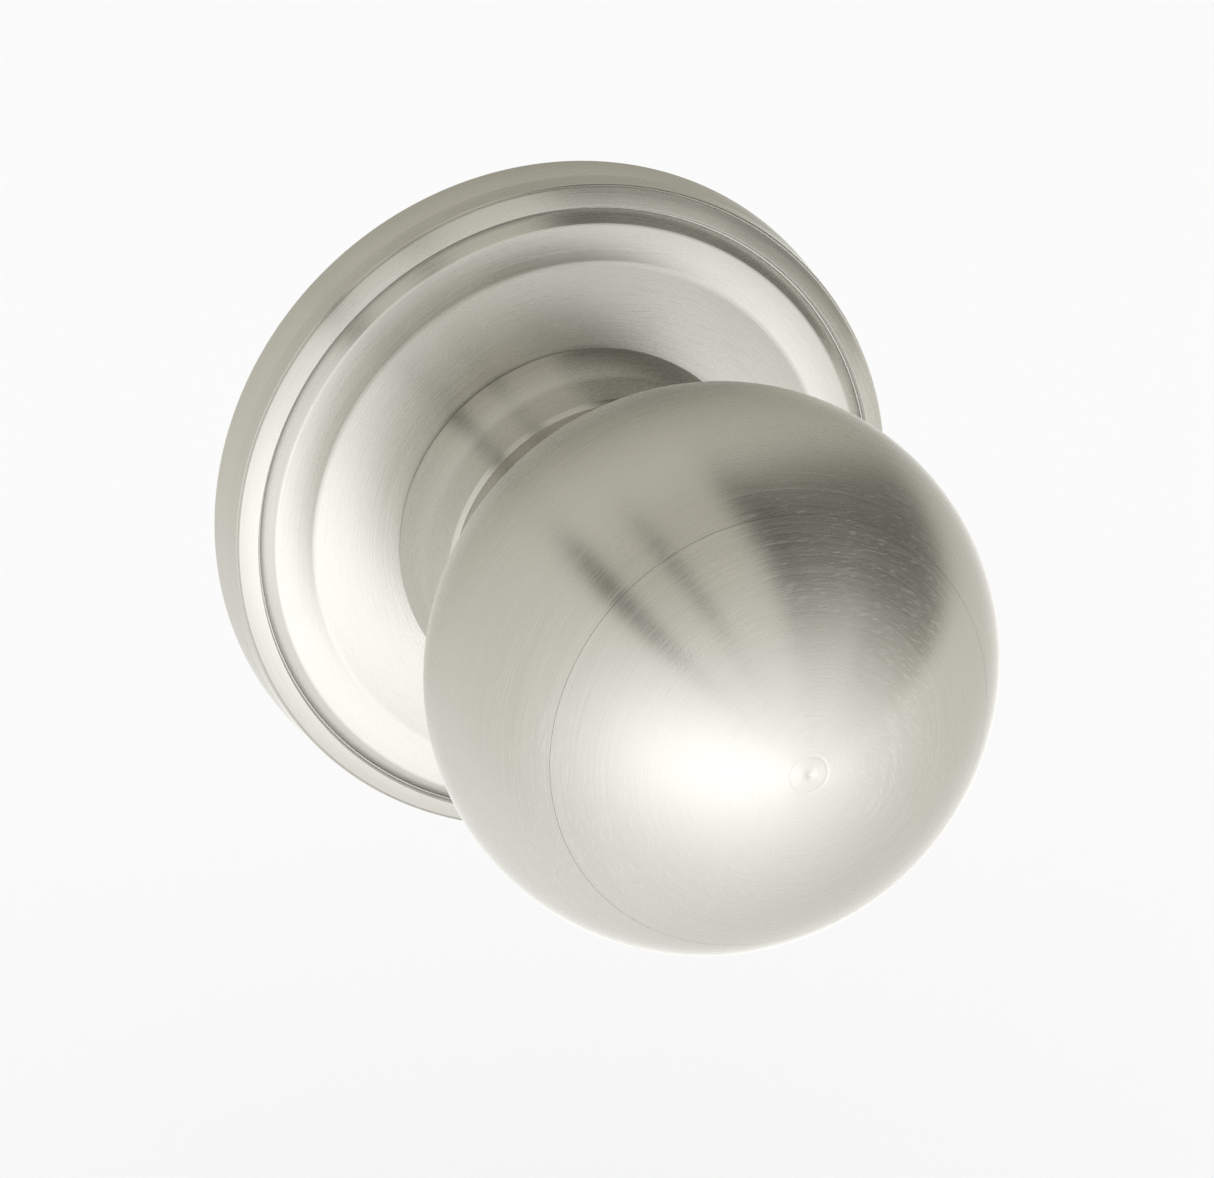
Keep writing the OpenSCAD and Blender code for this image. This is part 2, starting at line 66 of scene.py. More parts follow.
def radius_of(node):
    """Outside radius of a round node, in millimetres."""
    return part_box(node)[1][0] / MM


def front_of(node):
    """Height of a node's foremost point above the door face, in millimetres."""
    return -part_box(node)[0][1] / MM


ROSE_R = radius_of("rose")
ROSE_TOP = front_of("rose")
FOOT_R = radius_of("knob_neck")
BALL_R = radius_of("knob_shell")
BALL_FRONT = front_of("knob_cap")

# Ball
BALL_DEPTH = 45.0
BALL_SIDE_R = 20.35
SHELL_T = 1.0
SEAM_GAP = 0.03
CAP_LIP_T = 0.8
CAP_LIP_LENGTH = 3.0
# Turning marks: a small pip at the front pole, in a fine ring. Scored lines are MARK_W wide each side.
PIP_R = 0.3
PIP_DEPTH = 0.05
RING_R = 1.65
RING_MARGIN = 0.3
MARK_W = 0.09
MARK_DEPTH = 0.02
BALL_Z = BALL_FRONT - BALL_DEPTH / 2
SIDE_OFFSET = BALL_R - BALL_SIDE_R
HALF_DEPTH = BALL_DEPTH / 2
DOME_R = (SIDE_OFFSET ** 2 + HALF_DEPTH ** 2 - BALL_SIDE_R ** 2) / (2 * (HALF_DEPTH - BALL_SIDE_R))
DOME_DROP = DOME_R - HALF_DEPTH
SEAM_ANGLE = math.atan2(DOME_DROP, SIDE_OFFSET)

# Neck
FOOT_Z = 9.25
FOOT_BULGE_R = 30.0
CREASE_R = 16.4
CREASE_Z = 13.9
COLLAR_R = 15.95
COLLAR_Z = 17.9
COLLAR_CHAMFER = 0.4
WAIST_R = 14.4
NECK_END = 28.0
NECK_T = 1.0
FOOT_T = 1.6
WAIST_FIT = 0.03

# Rose, from its side inwards: rim, fine groove, chamfer, bead and raised centre
RIM_DRAFT = 0.6
RIM_FILLET = 0.3
RIM_Z = 5.65
RIM_LINE = 0.09
SIDE_LINE_Z = 3.5
LIP_R = 30.85
LIP_Z = 6.6
GROOVE_R = 30.6
GROOVE_Z = 6.0
GROOVE_HALF = 0.05
GROOVE_SKIN = 0.75
BEAD_R = 29.3
BEAD_Z = 6.95
CENTRE_R = 25.7
CENTRE_Z = 7.3
ROSE_HOLE_R = 16.6
ROSE_T = 0.9

# Return spring: a torsion coil behind the door face, with a tang at each end
RETURN_COIL_R = 12.2
RETURN_WIRE = 1.2
RETURN_TURNS = 3
RETURN_FRONT = -0.95
RETURN_BACK = -4.95
TANG_BEND = 0.8
TANG_ANGLE = 90
TANG_BEND_ANGLE = 4

# Catch spring: a compression coil across the sleeve, from the bore's top to the catch under the axis
CATCH_COIL_R = 1.7
CATCH_WIRE = 0.5
CATCH_TURNS = 7
CATCH_CLOSED_PART = 0.1
CATCH_Z = 20
CATCH_FAR = 6.88
CATCH_NEAR = -5.43


# ---------------------------------------------------------------- outlines

def arc(centre, r, start, end, step=1.5):
    """Points of a circular arc, angles in degrees, both ends included."""
    count = max(2, math.ceil(abs(end - start) / step))
    points = []
    for i in range(count + 1):
        a = math.radians(start + (end - start) * i / count)
        points.append((centre[0] + r * math.cos(a), centre[1] + r * math.sin(a)))
    return points


def seam_point(depth, along):
    """A point at a depth under the seam, and along the surface from it towards the front pole."""
    r = BALL_SIDE_R - depth
    x = SIDE_OFFSET + r * math.cos(SEAM_ANGLE) - along * math.sin(SEAM_ANGLE)
    z = BALL_Z + r * math.sin(SEAM_ANGLE) + along * math.cos(SEAM_ANGLE)
    return (x, z)


def dome_angle(r, skin):
    """Angle up from the ball's middle plane at which the dome, less a skin, has radius r."""
    return math.degrees(math.acos(max(0.0, min(1.0, r / (DOME_R - skin)))))


def cap_outline():
    """Front of the ball: a dome with its turning marks, and a lip that enters the shell."""
    half = SEAM_GAP / 2
    edge = seam_point(0, half)
    lip = seam_point(SHELL_T, half)
    centre = (0, BALL_Z - DOME_DROP)
    pip = [(0, BALL_FRONT - PIP_DEPTH), (PIP_R * 0.6, BALL_FRONT - PIP_DEPTH * 0.8)]
    ring = [(RING_R + MARK_W * k, BALL_FRONT - RING_R ** 2 / (2 * DOME_R) - drop)
            for k, drop in ((-1, 0), (0, MARK_DEPTH), (1, MARK_W * RING_R / DOME_R))]
    near = arc(centre, DOME_R, dome_angle(PIP_R, 0), dome_angle(RING_R - RING_MARGIN, 0))
    far = arc(centre, DOME_R, dome_angle(RING_R + RING_MARGIN, 0), dome_angle(edge[0], 0))
    lip_back = lip[1] - CAP_LIP_LENGTH
    face = [lip, (lip[0], lip_back), (lip[0] - CAP_LIP_T, lip_back)]
    inner = arc(centre, DOME_R - SHELL_T, dome_angle(lip[0] - CAP_LIP_T, SHELL_T), 90)
    return pip + near + ring + far + face + inner


def shell_outline():
    """Side and back of the ball, from the seam to the hole for the neck."""
    half = SEAM_GAP / 2
    side = (SIDE_OFFSET, BALL_Z)
    back = (0, BALL_Z + DOME_DROP)
    seam = math.degrees(SEAM_ANGLE)
    hole = WAIST_R + WAIST_FIT
    rear_r = SIDE_OFFSET + BALL_SIDE_R * math.cos(SEAM_ANGLE)
    outer = arc(side, BALL_SIDE_R, seam - 0.3, -seam) + arc(
        back, DOME_R, -dome_angle(rear_r, 0), -dome_angle(hole, 0))[1:]
    inner_r = SIDE_OFFSET + (BALL_SIDE_R - SHELL_T) * math.cos(SEAM_ANGLE)
    inner = arc(back, DOME_R - SHELL_T, -dome_angle(hole, SHELL_T), -dome_angle(inner_r, SHELL_T)) + arc(
        side, BALL_SIDE_R - SHELL_T, -seam, seam - 0.5)[1:]
    return [seam_point(0, -half)] + outer + inner + [seam_point(SHELL_T, -half)]


def neck_outline():
    """Neck: a flared foot up to a crease, a straight collar and a thinner waist inside the ball."""
    ax, az, bx, bz = FOOT_R, FOOT_Z + 0.3, CREASE_R, CREASE_Z
    mx, mz = (ax + bx) / 2, (az + bz) / 2
    length = math.hypot(bx - ax, bz - az)
    rise = math.sqrt(FOOT_BULGE_R ** 2 - length ** 2 / 4)
    cx = mx - rise * (bz - az) / length
    cz = mz + rise * (bx - ax) / length
    start = math.degrees(math.atan2(az - cz, ax - cx))
    end = math.degrees(math.atan2(bz - cz, bx - cx))
    shoulder = COLLAR_Z + COLLAR_CHAMFER
    foot = [(FOOT_R - 0.25, FOOT_Z), (FOOT_R - 0.07, FOOT_Z + 0.07)]
    foot += arc((cx, cz), FOOT_BULGE_R, start, end)
    collar = [(COLLAR_R + 0.03, COLLAR_Z - 0.06), (COLLAR_R - 0.05, COLLAR_Z + 0.03),
              (COLLAR_R - COLLAR_CHAMFER, shoulder - 0.1), (WAIST_R, shoulder)]
    step_z = COLLAR_Z - NECK_T
    inside = [(WAIST_R, NECK_END), (WAIST_R - NECK_T, NECK_END), (WAIST_R - NECK_T, step_z),
              (COLLAR_R - NECK_T, step_z), (CREASE_R - NECK_T - 0.1, CREASE_Z),
              (FOOT_R - FOOT_T, FOOT_Z + FOOT_T / 2), (FOOT_R - FOOT_T, FOOT_Z)]
    return foot + collar + inside


def bowed(start, end, bow, count):
    """Points after start, up to end, of a line that is straight for bow 0 and ends level for bow 1."""
    points = []
    for i in range(1, count + 1):
        s = i / count
        points.append((start[0] + (end[0] - start[0]) * s,
                       start[1] + (end[1] - start[1]) * (s + bow * s * (1 - s))))
    return points


def rose_outline():
    """Rose: side, rim, groove, chamfer, bead and raised centre, with a hollow back."""
    top_r = ROSE_R - RIM_DRAFT
    line_r = ROSE_R - RIM_DRAFT * SIDE_LINE_Z / RIM_Z
    line = [(line_r, SIDE_LINE_Z - MARK_W), (line_r - MARK_DEPTH * 2, SIDE_LINE_Z),
            (line_r, SIDE_LINE_Z + MARK_W)]
    side = [(ROSE_R, 0)] + line + arc((top_r - RIM_FILLET, RIM_Z - RIM_FILLET), RIM_FILLET, 0, 57, 6)
    edge_r, edge_z = side[-1]
    side += [(edge_r - RIM_LINE, edge_z - RIM_LINE / 2), (edge_r - 2 * RIM_LINE, edge_z + RIM_LINE)]
    lip = [(LIP_R + 0.08, LIP_Z - 0.05), (LIP_R, LIP_Z - 0.03), (GROOVE_R + GROOVE_HALF, GROOVE_Z),
           (GROOVE_R - GROOVE_HALF, GROOVE_Z), (BEAD_R + 0.06, BEAD_Z - 0.055)]
    face = [(BEAD_R - 0.03, BEAD_Z)]
    face += bowed(face[0], (CENTRE_R, CENTRE_Z), 1.0, 16)
    face += bowed((CENTRE_R, CENTRE_Z), (ROSE_HOLE_R, ROSE_TOP), 0.5, 24)
    under = [(r, z - ROSE_T) for r, z in reversed(face)]
    inner_r = ROSE_R - ROSE_T
    under_z = GROOVE_Z - GROOVE_SKIN
    inside = [(GROOVE_R - 0.4, under_z), (inner_r - 0.9, under_z),
              (inner_r - 0.25, under_z - 0.7), (inner_r, 3), (inner_r, 0)]
    return side + lip + face + under + inside


# ---------------------------------------------------------------- meshes

def link_object(name, data):
    """A new object with this data, in the scene."""
    made = bpy.data.objects.new(name, data)
    bpy.context.scene.collection.objects.link(made)
    return made


def reverse_each(uvs, faces):
    """The corners' UVs, turned round face by face as the faces were."""
    turned = []
    start = 0
    for face in faces:
        turned.extend(reversed(uvs[start:start + len(face)]))
        start += len(face)
    return turned


def lathe(name, outline, segments=256, crease=24):
    """Turns a closed outline about the knob's axis. UV: u round the axis, v along the outline in metres."""
    on_axis = [i for i, p in enumerate(outline) if p[0] < 1e-6]
    vertices = []
    rings = []
    for i, (r, h) in enumerate(outline):
        if i in on_axis:
            rings.append([len(vertices)] * segments)
            vertices.append((0, -h * MM, 0))
            continue
        rings.append(list(range(len(vertices), len(vertices) + segments)))
        for k in range(segments):
            a = 2 * math.pi * k / segments
            vertices.append((r * MM * math.cos(a), -h * MM, r * MM * math.sin(a)))
    faces = []
    lengths = [0.0]
    for i in range(1, len(outline)):
        step = math.hypot(outline[i][0] - outline[i - 1][0], outline[i][1] - outline[i - 1][1])
        lengths.append(lengths[-1] + step * MM)
    uvs = []
    for i in range(len(outline)):
        j = (i + 1) % len(outline)
        if i in on_axis and j in on_axis:
            continue
        v0 = lengths[i]
        v1 = lengths[j] if j else lengths[i] + 0.001
        for k in range(segments):
            k2 = (k + 1) % segments
            u0, u1 = k / segments, (k + 1) / segments
            quad = [(rings[i][k], (u0, v0)), (rings[i][k2], (u1, v0)),
                    (rings[j][k2], (u1, v1)), (rings[j][k], (u0, v1))]
            corners = []
            for vertex, uv in quad:
                if vertex not in [c[0] for c in corners]:
                    corners.append((vertex, uv))
            faces.append([c[0] for c in corners])
            uvs.extend(c[1] for c in corners)
    area = sum(a[0] * b[1] - b[0] * a[1] for a, b in zip(outline, outline[1:] + outline[:1]))
    if area > 0:
        faces = [face[::-1] for face in faces]
        uvs = reverse_each(uvs, faces)
    mesh = bpy.data.meshes.new(name)
    mesh.from_pydata(vertices, [], faces)
    layer = mesh.uv_layers.new(name="turned")
    for loop, uv in zip(layer.data, uvs):
        loop.uv = uv
    mesh.shade_smooth()
    mesh.set_sharp_from_angle(angle=math.radians(crease))
    mesh.update()
    return link_object(name, mesh)


def rounded(points, passes=2):
    """The points of a path with its corners cut, both ends kept."""
    for _ in range(passes):
        cut = [points[0]]
        for a, b in zip(points, points[1:]):
            cut += [a.lerp(b, 0.25), a.lerp(b, 0.75)]
        points = cut + [points[-1]]
    return points


def tube(name, points, radius, sides=12):
    """A round wire along a path of points in metres, with flat ends."""
    vertices = []
    side = None
    for i, point in enumerate(points):
        along = (points[min(i + 1, len(points) - 1)] - points[max(i - 1, 0)]).normalized()
        side = side or along.orthogonal()
        side = (side - along * side.dot(along)).normalized()
        other = along.cross(side)
        for k in range(sides):
            a = 2 * math.pi * k / sides
            vertices.append(point + (side * math.cos(a) + other * math.sin(a)) * radius)
    faces = [list(range(sides))[::-1], list(range(len(vertices) - sides, len(vertices)))]
    for i in range(len(points) - 1):
        for k in range(sides):
            a, b = i * sides + k, i * sides + (k + 1) % sides
            faces.append([a, b, b + sides, a + sides])
    mesh = bpy.data.meshes.new(name)
    mesh.from_pydata(vertices, [], faces)
    mesh.shade_smooth()
    mesh.set_sharp_from_angle(angle=math.radians(40))
    mesh.update()
    return link_object(name, mesh)


def return_spring_path():
    """A torsion coil round the knob's axis, with a tang towards the plate and one towards the cam."""
    steps = 40 * RETURN_TURNS
    start = math.radians(TANG_ANGLE + TANG_BEND_ANGLE)
    turned = math.radians(360 * RETURN_TURNS - 2 * TANG_BEND_ANGLE)
    coil = []
    for i in range(steps + 1):
        s = i / steps
        a = start + turned * s
        h = RETURN_FRONT + (RETURN_BACK - RETURN_FRONT) * s
        coil.append((RETURN_COIL_R * math.cos(a), h, RETURN_COIL_R * math.sin(a)))
    front = [(0, h, RETURN_COIL_R) for h in (1.2, 0.6, RETURN_FRONT + TANG_BEND)]
    back = [(0, RETURN_BACK - drop, RETURN_COIL_R) for drop in (TANG_BEND, 1.6, 2.3)]
    return rounded([Vector((x, -h, z)) * MM for x, h, z in front + coil + back])


def catch_spring_path():
    """A compression coil across the sleeve, whose pitch runs down to nothing at both ends."""
    closed = CATCH_CLOSED_PART
    steps = 24 * CATCH_TURNS
    points = []
    for i in range(steps + 1):
        s = i / steps
        rise = 0.03 + 0.94 * (s - closed) / (1 - 2 * closed)
        if s < closed:
            rise = 3 * s * s
        elif s > 1 - closed:
            rise = 1 - 3 * (1 - s) ** 2
        a = 2 * math.pi * CATCH_TURNS * s
        points.append(Vector((CATCH_COIL_R * math.cos(a), -CATCH_Z - CATCH_COIL_R * math.sin(a),
                              CATCH_FAR + (CATCH_NEAR - CATCH_FAR) * rise)) * MM)
    return points


# ---------------------------------------------------------------- materials

class Nodes:
    """The node tree of a material or of the world, built one node at a time."""

    def __init__(self, tree):
        self.tree = tree

    def add(self, kind, settings=None, **inputs):
        node = self.tree.nodes.new("ShaderNode" + kind)
        for key, value in (settings or {}).items():
            setattr(node, key, value)
        for key, value in inputs.items():
            self.put(node, key.replace("_", " "), value)
        return node

    def put(self, node, key, value):
        socket = node.inputs[key]
        if hasattr(value, "is_output"):
            self.tree.links.new(value, socket)
        else:
            socket.default_value = value

    def math(self, operation, a, b=0.0):
        node = self.add("Math", {"operation": operation})
        self.put(node, 0, a)
        self.put(node, 1, b)
        return node.outputs[0]

    def vector_math(self, operation, a, b):
        node = self.add("VectorMath", {"operation": operation})
        self.put(node, 0, a)
        self.put(node, 1, b)
        return node

    def remap(self, value, low, high, out_low, out_high):
        node = self.add("MapRange", None, Value=value, From_Min=low, From_Max=high,
                        To_Min=out_low, To_Max=out_high)
        return node.outputs[0]

    def mix(self, factor, a, b):
        return self.add("MixRGB", None, Fac=factor, Color1=a, Color2=b).outputs[0]

    def noise(self, scale, detail=2.0):
        """Noise over the object's own coordinates."""
        place = self.add("TexCoord").outputs["Object"]
        return self.add("TexNoise", None, Vector=place, Scale=scale, Detail=detail).outputs[0]


class Shader(Nodes):
    """A material with one Principled surface."""

    def __init__(self, name):
        self.material = bpy.data.materials.new(name)
        self.material.use_nodes = True
        super().__init__(self.material.node_tree)
        self.surface = self.tree.nodes["Principled BSDF"]

    def finish(self, **inputs):
        for key, value in inputs.items():
            self.put(self.surface, key.replace("_", " "), value)
        return self.material


def scaled(color, factor):
    """A colour made lighter or darker, with its alpha."""
    return [min(1.0, v * factor) for v in color] + [1]


def round_axis(shader, centre):
    """(radius, position along the axis, cosine, sine) round an axis along Y, from object coordinates."""
    here = shader.add("TexCoord").outputs["Object"]
    place = shader.vector_math("SUBTRACT", here, (centre[0], 0, centre[1])).outputs[0]
    x, y, z = shader.add("SeparateXYZ", None, Vector=place).outputs
    square = shader.math("ADD", shader.math("MULTIPLY", x, x), shader.math("MULTIPLY", z, z))
    r = shader.math("SQRT", square)
    safe = shader.math("MAXIMUM", r, 1e-5)
    return r, y, shader.math("DIVIDE", x, safe), shader.math("DIVIDE", z, safe)


def turned_noise(shader, rings, arcs, detail=2.0, centre=(0, 0)):
    """Noise drawn out into arcs round an axis: rings per metre along the outline, arcs per radius."""
    r, y, c, s = round_axis(shader, centre)
    vector = shader.add(
        "CombineXYZ", None, X=shader.math("MULTIPLY", c, arcs), Y=shader.math("MULTIPLY", s, arcs),
        Z=shader.math("MULTIPLY", r, rings))
    noise = shader.add("TexNoise", {"noise_dimensions": "4D"}, Vector=vector.outputs[0],
                       W=shader.math("MULTIPLY", y, rings), Scale=1.0, Detail=detail)
    return noise.outputs[0]


# Rings of the brushed grain, per metre, and where the stray scratches are centred, in metres
FINE_RINGS = 14000
COARSE_RINGS = 3500
SCRATCH_RINGS = 6000
SCRATCH_CENTRE = (0.0035, -0.003)
# How near a facing wall must stand for a crevice to get painted shade, in metres
CREVICE_SHADE_REACH = 0.0007


def turned_metal(name, color, roughness, anisotropic, grain, tint=0.03):
    """Metal brushed in rings round the knob's axis, with stray scratches and painted shade in its crevices.
    """
    shader = Shader(name)
    fine = turned_noise(shader, FINE_RINGS, 2.2)
    coarse = turned_noise(shader, COARSE_RINGS, 1.2, 3.0)
    patches = shader.noise(55.0, 3.0)
    both = shader.math("ADD", shader.math("MULTIPLY", fine, 0.6), shader.math("MULTIPLY", coarse, 0.4))
    bump = shader.add("Bump", None, Strength=grain, Distance=0.00002, Height=both)
    stray = turned_noise(shader, SCRATCH_RINGS, 1.1, 3.0, SCRATCH_CENTRE)
    scratch = shader.math("MULTIPLY", shader.remap(stray, 0.56, 0.66, 0.0, 1.0),
                          shader.remap(patches, 0.4, 0.65, 0.2, 1.0))
    cloudy = shader.math("ADD", shader.remap(patches, 0.3, 0.7, -0.015, 0.015),
                         shader.math("MULTIPLY", scratch, 0.1))
    rough = shader.math("ADD", shader.remap(both, 0.3, 0.7, roughness * 0.88, roughness * 1.12), cloudy)
    streaks = shader.remap(both, 0.35, 0.65, 0.0, 1.0)
    shade = shader.mix(streaks, scaled(color, 1 - tint), scaled(color, 1 + tint))
    shade = shader.mix(shader.math("MULTIPLY", scratch, 0.5), shade, scaled(color, 1.15))
    # Painted shade: the colour darkens in crevices and where parts stand close, in place of the shade that
    # falls there.
    hollow = shader.add("AmbientOcclusion", {"samples": 6, "only_local": True},
                        Distance=CREVICE_SHADE_REACH).outputs["AO"]
    shade = shader.mix(shader.remap(hollow, 0.35, 0.75, 0.45, 0.0), shade, scaled(color, 0.2))
    tangent = shader.add("Tangent", {"direction_type": "RADIAL", "axis": "Y"})
    return shader.finish(
        Base_Color=shade, Metallic=1.0, Roughness=rough, Anisotropic=anisotropic, Anisotropic_Rotation=0.25,
        Tangent=tangent.outputs[0], Normal=bump.outputs[0])


def edge_wear(shader, amount=0.5):
    """Up to the given amount on outer edges, broken up by noise, and 0 elsewhere."""
    pointiness = shader.add("NewGeometry").outputs["Pointiness"]
    edge = shader.remap(pointiness, 0.52, 0.62, 0.0, amount)
    return shader.math("MULTIPLY", edge, shader.noise(900.0))


def plain_metal(name, color, roughness, spots=120.0, grain=0.25, spread=0.1):
    """Plated, drawn or cast metal with cloudy colour, fine grain and brighter edges."""
    shader = Shader(name)
    clouds = shader.noise(spots, 4.0)
    grains = shader.noise(4200.0)
    cloudy = shader.remap(clouds, 0.35, 0.65, 0.0, 1.0)
    shade = shader.mix(cloudy, scaled(color, 1 - spread), scaled(color, 1 + spread))
    worn = shader.mix(edge_wear(shader), shade, scaled(color, 1.35))
    bump = shader.add("Bump", None, Strength=grain, Distance=0.00003, Height=grains)
    rough = shader.remap(clouds, 0.3, 0.7, roughness * 0.8, roughness * 1.2)
    return shader.finish(Base_Color=worn, Metallic=1.0, Roughness=rough, Normal=bump.outputs[0])


def plastic(name, color, roughness):
    """Moulded plastic, slightly mottled, with a fine matt grain."""
    shader = Shader(name)
    clouds = shader.noise(180.0, 3.0)
    grains = shader.noise(3000.0)
    shade = shader.mix(clouds, scaled(color, 0.92), scaled(color, 1.06))
    bump = shader.add("Bump", None, Strength=0.2, Distance=0.00002, Height=grains)
    rough = shader.remap(clouds, 0.3, 0.7, roughness - 0.06, roughness + 0.06)
    return shader.finish(Base_Color=shade, Roughness=rough, Normal=bump.outputs[0])


FINISHES = {
    "satin_stainless": turned_metal("satin_stainless", (0.662, 0.65, 0.61), 0.27, 0.92, 0.6),
    "machined_steel": turned_metal("machined_steel", (0.55, 0.55, 0.54), 0.28, 0.5, 0.8),
    "plated_steel": plain_metal("plated_steel", (0.6, 0.62, 0.64), 0.32, spots=90.0),
    "zinc_casting": plain_metal(
        "zinc_casting", (0.42, 0.43, 0.44), 0.55, spots=200.0, grain=0.8, spread=0.14),
    "spring_steel": plain_metal("spring_steel", (0.2, 0.2, 0.21), 0.35, spots=400.0),
    "spring_strip": plain_metal("spring_strip", (0.27, 0.28, 0.3), 0.3, spots=150.0),
    "acetal": plastic("acetal", (0.78, 0.76, 0.68), 0.45),
    "black_nylon": plastic("black_nylon", (0.025, 0.025, 0.028), 0.5),
}
slots = {part["node"]: part["material_slot"] for part in frame["record"]["subparts"]}


def finish_object(piece, slot):
    """Give an object the finish of a material slot."""
    piece.data.materials.clear()
    piece.data.materials.append(FINISHES[slot])


# ---------------------------------------------------------------- pieces

TURNED_PIECES = (
    ("knob_front", "knob_cap", cap_outline),
    ("knob_ball", "knob_shell", shell_outline),
    ("knob_shank", "knob_neck", neck_outline),
    ("rose_cover", "rose", rose_outline),
)
body_of_node = {n: body for body, nodes in frame["record"]["behaviour"]["bodies"].items() for n in nodes}

for piece_name, node, outline in TURNED_PIECES:
    piece = lathe(piece_name, outline())
    finish_object(piece, slots[node])
    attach(piece, body_of_node[node])
    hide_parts(node)

# Each spring has one end on each of two bodies: (piece, node, wire, path, bodies, start and end of the coil)
SPRINGS = (
    ("torsion_spring", "return_spring", RETURN_WIRE, return_spring_path, ("door_side", "knob"),
     (0, -RETURN_FRONT * MM, 0), (0, -RETURN_BACK * MM, 0)),
    ("plunger_spring", "catch_spring", CATCH_WIRE, catch_spring_path, ("knob", "catch"),
     (0, -CATCH_Z * MM, CATCH_FAR * MM), (0, -CATCH_Z * MM, CATCH_NEAR * MM)),
)
for piece_name, node, wire, path, bodies, start, end in SPRINGS:
    piece = tube(piece_name, path(), wire / 2 * MM)
    finish_object(piece, slots[node])
    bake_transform(piece)
    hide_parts(node)

replaced = {node for _, node, *_ in TURNED_PIECES + SPRINGS}
for node, cad_object in frame["nodes"].items():
    if node not in replaced:
        finish_object(cad_object, slots[node])


# ---------------------------------------------------------------- studio

# The camera looks at the knob from its front left and from above. Lengths are in millimetres.
AZIMUTH = math.radians(-19.4)
ELEVATION = math.radians(22.86)
LENS = 118.6
SENSOR_WIDTH = 36
CAMERA_SHIFT = (5.497, -9.165)
CAMERA_DISTANCE = 387.0

right = Vector((math.cos(AZIMUTH), math.sin(AZIMUTH), 0))
back = Vector((math.sin(AZIMUTH) * math.cos(ELEVATION), -math.cos(AZIMUTH) * math.cos(ELEVATION),
               math.sin(ELEVATION)))
up = back.cross(right)
camera_data = bpy.data.cameras.new("camera")
camera_data.lens = LENS
camera_data.sensor_width = SENSOR_WIDTH
camera_data.sensor_fit = "HORIZONTAL"
camera_data.clip_start = 0.01
camera = link_object("camera", camera_data)
camera.location = (right * CAMERA_SHIFT[0] + up * CAMERA_SHIFT[1] + back * CAMERA_DISTANCE) * MM
camera.rotation_mode = "QUATERNION"
camera.rotation_quaternion = back.to_track_quat("Z", "Y")
bpy.context.scene.camera = camera

# A large pale floor, well under the knob, with its sizes in metres. The metal does not reflect it.
FLOOR_Z = -0.1
FLOOR_HALF = 6.0
floor_shader = Shader("floor")
floor_noise = floor_shader.add("TexNoise", None, Scale=3.0).outputs[0]
floor_shader.finish(Base_Color=floor_shader.mix(floor_noise, [0.93, 0.93, 0.93, 1], [0.95, 0.95, 0.95, 1]),
                    Roughness=0.9)
floor_mesh = bpy.data.meshes.new("floor")
floor_mesh.from_pydata(
    [(-FLOOR_HALF, -FLOOR_HALF, FLOOR_Z), (FLOOR_HALF, -FLOOR_HALF, FLOOR_Z),
     (FLOOR_HALF, FLOOR_HALF, FLOOR_Z), (-FLOOR_HALF, FLOOR_HALF, FLOOR_Z)], [], [(0, 1, 2, 3)])
floor_mesh.materials.append(floor_shader.material)
floor = link_object("floor", floor_mesh)
floor.visible_glossy = False

# What the metal reflects: an even pale studio, with soft round panels (+) and darker openings (-) in it.
# Azimuth is 0 in front of the knob and 90 to its right. All angles are in degrees.
STUDIO_LEVEL = 0.74
DARKEST_LEVEL = 0.02
FLOOR_LIGHT = 1.05
PANELS = (
    # name, azimuth, elevation, spread, strength
    ("key panel, front left", -28, -15, 29, 0.84),
    ("key panel, front right", 14, -23, 25, 0.78),
    ("front panel, low", 0, -55, 40, 0.22),
    ("front panel, high", 10, 8, 18, 0.06),
    ("rim panel, behind right", 154, -27, 18.5, 2.6),
    ("ceiling", -10, 60, 45, -0.06),
    ("back wall", 170, 0, 30, -0.5),
    ("behind, above", 180, 30, 35, -0.2),
    ("rear panel, left", -150, -45, 40, 0.3),
)
# Openings with straight edges, which fan out round the direction in which the ball's pole reflects.
FAN_AXIS = (0.306, -0.869, -0.388)
FAN_SIDE = (0.939, 0.208, 0.275)
FAN_UP = (-0.158, -0.448, 0.880)
OPENINGS = (
    # name, turn from, turn to, angle off the axis from, to, softness, strength
    ("opening, high right", -6, 72, 52, 108, 8, -0.6),
    ("opening, right", -6, 36, 36, 60, 8, -0.2),
    ("opening, high", 60, 128, 74, 118, 8, -0.18),
    ("slit, high", 98, 103, 56, 112, 3, -0.38),
    ("slit, high left", 119, 126, 60, 130, 3, -0.46),
)

world = bpy.data.worlds.new("studio")
bpy.context.scene.world = world
world.use_nodes = True
world.cycles.sampling_method = "NONE"
studio = Nodes(world.node_tree)
direction = studio.add("TexCoord").outputs["Generated"]


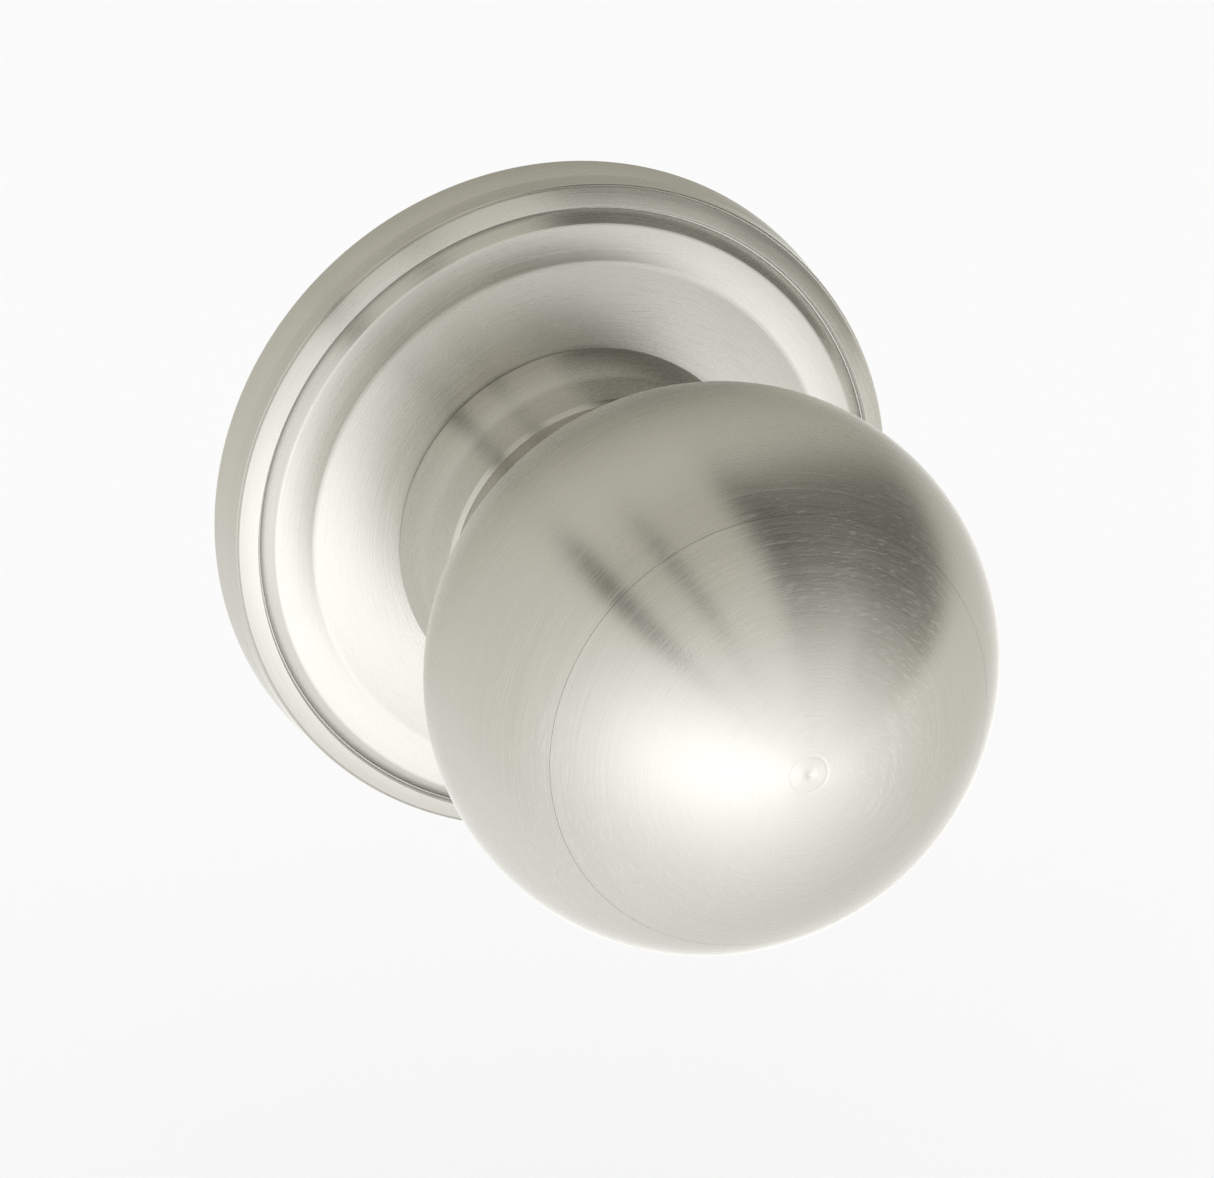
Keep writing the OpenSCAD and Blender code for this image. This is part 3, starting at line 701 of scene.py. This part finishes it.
def facing(towards):
    """Cosine of the angle between the direction looked in and another one."""
    return studio.vector_math("DOT_PRODUCT", direction, towards).outputs["Value"]


def smooth_step(value, low, high):
    """0 below the low angle and 1 above the high one, both in degrees."""
    return studio.add("MapRange", {"interpolation_type": "SMOOTHSTEP"}, Value=value,
                      From_Min=math.radians(low), From_Max=math.radians(high)).outputs[0]


def inside(value, low, high, softness):
    """1 between two angles and 0 beyond them, with soft edges."""
    rise = smooth_step(value, low - softness / 2, low + softness / 2)
    fall = smooth_step(value, high - softness / 2, high + softness / 2)
    return studio.math("SUBTRACT", rise, fall)


level = STUDIO_LEVEL
for _, azimuth, elevation, spread, strength in PANELS:
    a, e = math.radians(azimuth), math.radians(elevation)
    dot = facing((math.sin(a) * math.cos(e), -math.cos(a) * math.cos(e), math.sin(e)))
    sharpness = 1 / (1 - math.cos(math.radians(spread)))
    power = studio.math("MULTIPLY", studio.math("SUBTRACT", dot, 1.0), sharpness)
    level = studio.math("ADD", studio.math("MULTIPLY", studio.math("EXPONENT", power), strength), level)
turn = studio.math("ARCTAN2", facing(FAN_UP), facing(FAN_SIDE))
off_axis = studio.math("ARCCOSINE", facing(FAN_AXIS))
for _, turn_from, turn_to, off_from, off_to, softness, strength in OPENINGS:
    shape = studio.math("MULTIPLY", inside(turn, turn_from, turn_to, softness),
                        inside(off_axis, off_from, off_to, softness * 2.5))
    level = studio.math("ADD", studio.math("MULTIPLY", shape, strength), level)
level = studio.math("MAXIMUM", level, DARKEST_LEVEL)

# Only reflections see the panels. Everything else is lit by even white light.
tint = studio.mix(studio.remap(level, 0.5, 1.1, 0.0, 1.0), [1.015, 1.0, 0.85, 1], [1, 1, 1, 1])
glossy = studio.add("LightPath").outputs["Is Glossy Ray"]
lit = studio.math("ADD", studio.math("MULTIPLY", level, glossy),
                  studio.math("MULTIPLY", studio.math("SUBTRACT", 1.0, glossy), FLOOR_LIGHT))
background = world.node_tree.nodes["Background"]
studio.put(background, "Color", studio.mix(glossy, [1, 1, 1, 1], tint))
studio.put(background, "Strength", lit)
bpy.context.scene.view_settings.view_transform = "Standard"
